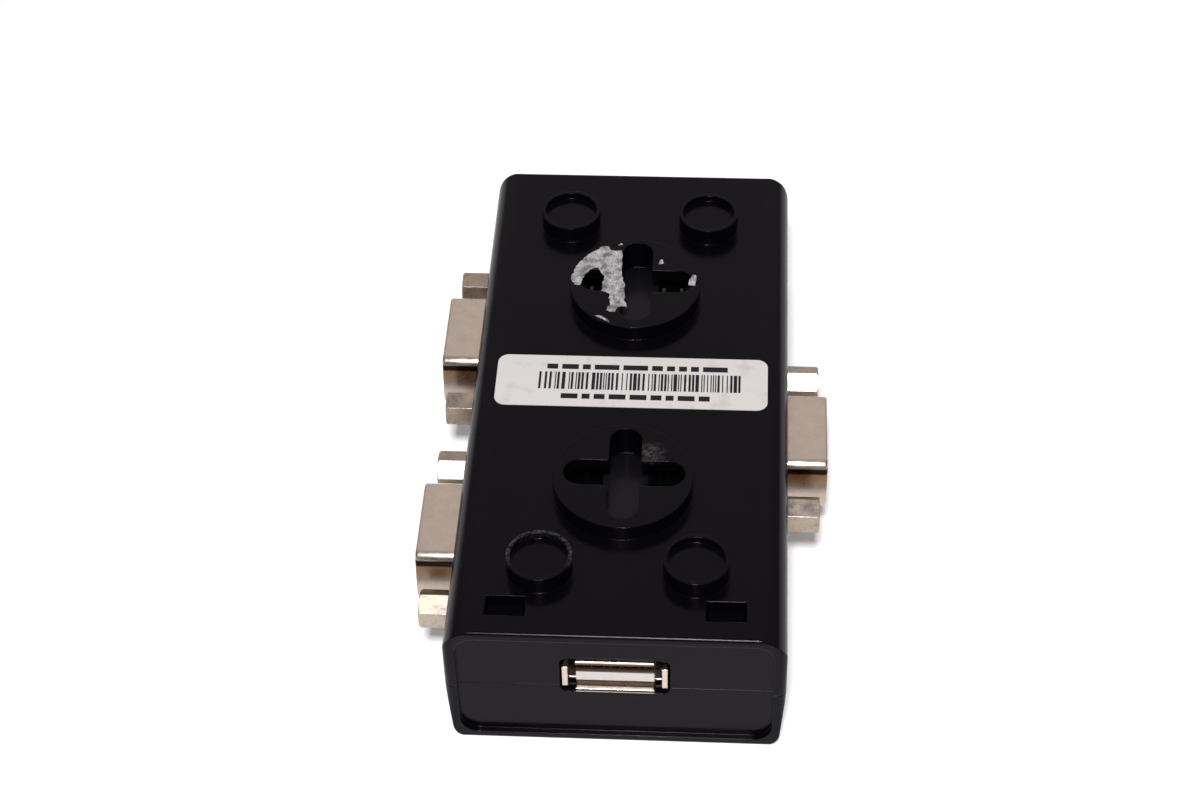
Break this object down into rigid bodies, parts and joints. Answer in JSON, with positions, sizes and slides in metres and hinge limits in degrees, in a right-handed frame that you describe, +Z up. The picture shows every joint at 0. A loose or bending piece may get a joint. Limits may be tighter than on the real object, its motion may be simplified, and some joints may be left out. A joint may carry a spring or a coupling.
{
  "type": "kvm switch",
  "caption": "Compact two-computer KVM switch, underside up: black two-part case, D-shell video sockets, USB sockets, footing collars, crossed hanging slots, push button.",
  "frame": {"origin": "centre of the bounding box's bottom face, on the table under the top cover", "axes": "+X across the case towards the monitor socket, +Y along the case from the front USB end to the uplink end, +Z up out of the underside: the unit lies on its top cover, and half a turn about Y stands it on its feet"},
  "size_m": [0.0546, 0.0892, 0.0235],
  "materials": {
    "case_plastic": "semi-gloss moulded black",
    "button_plastic": "fine satin dark grey",
    "circuit_board": "green solder resist",
    "label_film": "satin label film",
    "gold_contacts": "bright gold flash",
    "blue_plastic": "moulded blue",
    "nickel_nuts": "nickel plated, lightly worn",
    "nickel_shell": "nickel plated, lightly brushed",
    "white_plastic": "moulded white",
    "black_plastic": "moulded black",
    "led_resin": "clear tinted resin",
    "chip_resin": "moulded black resin",
    "crystal_can": "drawn steel can",
    "capacitor_can": "plain aluminium can"
  },
  "bodies": {
    "case": {"bottom_cover": "case_plastic", "top_cover": "case_plastic", "main_board": "circuit_board", "rating_label": "label_film", "video_pc1_shell": "nickel_shell", "video_pc1_insulator": "blue_plastic", "video_pc1_contacts": "gold_contacts", "video_pc1_jack_nuts": "nickel_nuts", "video_pc2_shell": "nickel_shell", "video_pc2_insulator": "blue_plastic", "video_pc2_contacts": "gold_contacts", "video_pc2_jack_nuts": "nickel_nuts", "video_out_shell": "nickel_shell", "video_out_insulator": "blue_plastic", "video_out_contacts": "gold_contacts", "video_out_jack_nuts": "nickel_nuts", "usb_front_shell": "nickel_shell", "usb_front_tongue": "white_plastic", "usb_front_contacts": "gold_contacts", "usb_keyboard_shell": "nickel_shell", "usb_keyboard_tongue": "white_plastic", "usb_keyboard_contacts": "gold_contacts", "usb_mouse_shell": "nickel_shell", "usb_mouse_tongue": "white_plastic", "usb_mouse_contacts": "gold_contacts", "uplink_pc1_shell": "nickel_shell", "uplink_pc1_insert": "black_plastic", "uplink_pc1_contacts": "gold_contacts", "uplink_pc2_shell": "nickel_shell", "uplink_pc2_insert": "black_plastic", "uplink_pc2_contacts": "gold_contacts", "switch_body": "black_plastic", "led_pc1": "led_resin", "led_pc2": "led_resin", "video_switch_ic": "chip_resin", "usb_switch_ic": "chip_resin", "controller_ic": "chip_resin", "crystal": "crystal_can", "capacitors": "capacitor_can"},
    "button": {"push_button": "button_plastic"},
    "plunger": {"switch_plunger": "black_plastic"}
  },
  "joints": [
    {"name": "button_press", "type": "slide", "parent": "case", "child": "button", "axis": [0, 0, 1], "range_m": [0, 0.0003], "stiffness_N_per_m": 800, "springref_m": -0.0005},
    {"name": "plunger_press", "type": "slide", "parent": "case", "child": "plunger", "axis": [0, 0, 1], "range_m": [0, 0.0003]}
  ],
  "couplings": [
    {"joint": "plunger_press", "follows": "button_press", "ratio": 1}
  ]
}
